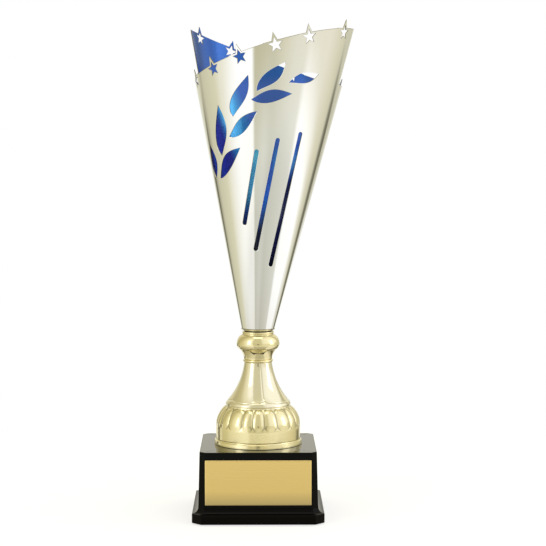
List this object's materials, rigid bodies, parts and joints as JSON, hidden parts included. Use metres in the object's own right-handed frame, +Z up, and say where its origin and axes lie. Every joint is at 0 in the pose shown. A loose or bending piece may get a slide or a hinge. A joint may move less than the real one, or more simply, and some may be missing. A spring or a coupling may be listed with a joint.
{
  "type": "award cup",
  "caption": "Award cup: a laser-cut metal cone with leaf, bar and star cut-outs on a gold bell stem and a weighted black block base with a blank plate.",
  "frame": {"origin": "centre of the underside, on the surface it stands on", "axes": "+Z up through the base and stem; the title plate faces -Y; +X is to the right when the plate is read"},
  "size_m": [0.1259, 0.1279, 0.3789],
  "materials": {
    "black_plastic": "moulded gloss black",
    "cover_plastic": "matt black",
    "cast_iron": "raw casting",
    "zinc_steel": "zinc plated",
    "felt": "black wool felt",
    "tape": "double-sided foam film",
    "gold_plate": "satin gold anodised, brushed lengthwise",
    "gold_plastic": "vacuum metallised pale gold",
    "gasket": "dark fibre rubber",
    "polished_sheet": "polished warm silver outside, royal blue lacquer inside"
  },
  "bodies": {
    "root": {"base_shell": "black_plastic", "base_weight": "cast_iron", "base_washer": "zinc_steel", "base_spring_washer": "zinc_steel", "base_nut": "zinc_steel", "base_cover": "cover_plastic", "cover_screws": "zinc_steel", "felt_pad": "felt", "plate_tape": "tape", "title_plate": "gold_plate", "stem_bell": "gold_plastic", "bell_foot_ring": "gold_plastic", "neck_ring": "gold_plastic", "stem_knop": "gold_plastic", "stem_collar": "gold_plastic", "cone_gasket": "gasket", "cone_foot_cap": "polished_sheet", "cone_washer": "zinc_steel", "cone_nut": "zinc_steel", "tie_rod": "zinc_steel", "cone_front_sheet": "polished_sheet", "cone_back_sheet": "polished_sheet"}
  },
  "joints": []
}
